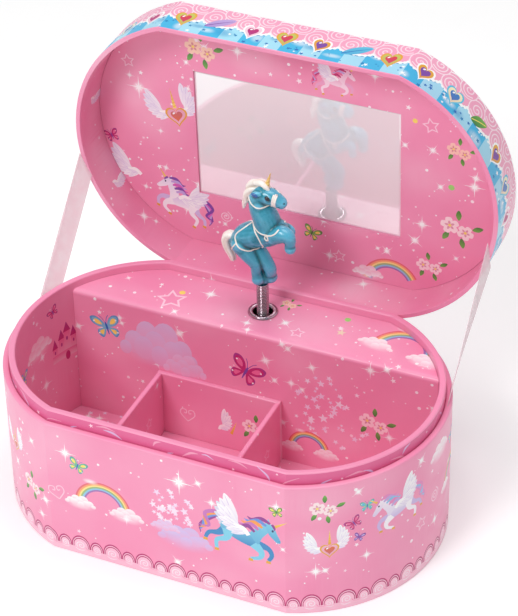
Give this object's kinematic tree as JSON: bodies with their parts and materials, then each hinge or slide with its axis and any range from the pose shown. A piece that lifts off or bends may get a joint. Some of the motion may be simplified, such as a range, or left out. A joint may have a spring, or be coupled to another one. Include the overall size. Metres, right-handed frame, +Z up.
{
  "type": "musical jewellery box",
  "caption": "Oval card jewellery box with a hinged mirror lid, a spring-driven music movement and a turning unicorn figurine on a coil-spring spindle.",
  "frame": {"origin": "middle of the bottom face, which stands on the surface", "axes": "+Z up, front faces -Y, +X to the right seen from the front; the lid hinges along X at the back"},
  "size_m": [0.218, 0.164, 0.2128],
  "materials": {
    "printed_card": "satin",
    "card_edge": "satin",
    "lid_print": "satin",
    "hinge_cloth": "matte",
    "ribbon": "satin",
    "mirror": "polished",
    "nickel": "polished",
    "brass": "satin",
    "steel": "satin",
    "spring_steel": "satin",
    "figurine_blue": "gloss",
    "figurine_cream": "gloss",
    "figurine_gold": "gloss"
  },
  "bodies": {
    "box": {"base_panel": "card_edge", "outer_wall": "printed_card", "inner_liner": "printed_card", "floor_lining": "printed_card", "platform_top": "printed_card", "platform_front": "printed_card", "divider_left": "printed_card", "divider_back": "printed_card", "divider_right": "printed_card", "spindle_grommet": "nickel", "hinge_cloth_lower": "hinge_cloth", "ribbon_left": "ribbon", "ribbon_right": "ribbon", "movement_bedplate": "brass", "movement_screws": "nickel", "comb": "steel", "comb_bracket": "brass", "comb_screws": "nickel", "lower_bearing_plate": "brass", "upper_bearing_plate": "brass"},
    "lid": {"lid_wall": "lid_print", "lid_top_panel": "lid_print", "lid_inner_panel": "printed_card", "lid_mirror": "mirror", "hinge_cloth_upper": "hinge_cloth"},
    "winder": {"winding_key": "nickel", "winding_arbor": "steel"},
    "barrel": {"spring_barrel": "brass", "barrel_cap": "brass", "mainspring": "spring_steel"},
    "cylinder": {"music_cylinder": "brass", "cylinder_arbor": "steel", "cylinder_wheel": "brass"},
    "governor": {"governor_wheel": "brass", "governor_arbor": "steel"},
    "fan": {"fan_blades": "steel", "fan_arbor": "steel"},
    "neck": {"spindle_spring": "spring_steel"},
    "figurine": {"unicorn_body": "figurine_blue", "unicorn_mane": "figurine_cream", "unicorn_tail": "figurine_cream", "unicorn_horn": "figurine_gold", "unicorn_harness": "figurine_cream", "unicorn_peg": "steel"}
  },
  "joints": [
    {"name": "lid_hinge", "type": "hinge", "parent": "box", "child": "lid", "pos_m": [0, 0.069, 0.074], "axis": [1, 0, 0], "range_deg": [0, 88], "deforming": ["ribbon_left", "ribbon_right"]},
    {"name": "figure_fold", "type": "hinge", "parent": "box", "child": "neck", "pos_m": [-0.0015, 0.0474, 0.085], "axis": [1, 0, 0], "range_deg": [0, 90.5], "deforming": ["spindle_spring"]},
    {"name": "barrel_spin", "type": "hinge", "parent": "box", "child": "barrel", "pos_m": [-0.0015, 0.055, 0.022], "axis": [0, 1, 0], "continuous": true},
    {"name": "figure_spin", "type": "hinge", "parent": "neck", "child": "figurine", "pos_m": [-0.0015, 0.0474, 0.085], "axis": [0, 0, 1], "continuous": true},
    {"name": "cylinder_spin", "type": "hinge", "parent": "box", "child": "cylinder", "pos_m": [-0.0015, 0.0474, 0.05], "axis": [0, 0, 1], "continuous": true},
    {"name": "governor_spin", "type": "hinge", "parent": "box", "child": "governor", "pos_m": [-0.0095, 0.0474, 0.045], "axis": [0, 0, 1], "continuous": true},
    {"name": "fan_spin", "type": "hinge", "parent": "box", "child": "fan", "pos_m": [-0.0159, 0.0474, 0.045], "axis": [0, 0, 1], "continuous": true},
    {"name": "key_wind", "type": "hinge", "parent": "box", "child": "winder", "pos_m": [-0.0015, 0.065, 0.022], "axis": [0, 1, 0], "continuous": true}
  ],
  "couplings": [
    {"joint": "figure_fold", "follows": "lid_hinge", "ratio": 1.0227},
    {"joint": "figure_spin", "follows": "barrel_spin", "ratio": -4},
    {"joint": "cylinder_spin", "follows": "barrel_spin", "ratio": -4},
    {"joint": "governor_spin", "follows": "barrel_spin", "ratio": 16},
    {"joint": "fan_spin", "follows": "barrel_spin", "ratio": -48}
  ]
}
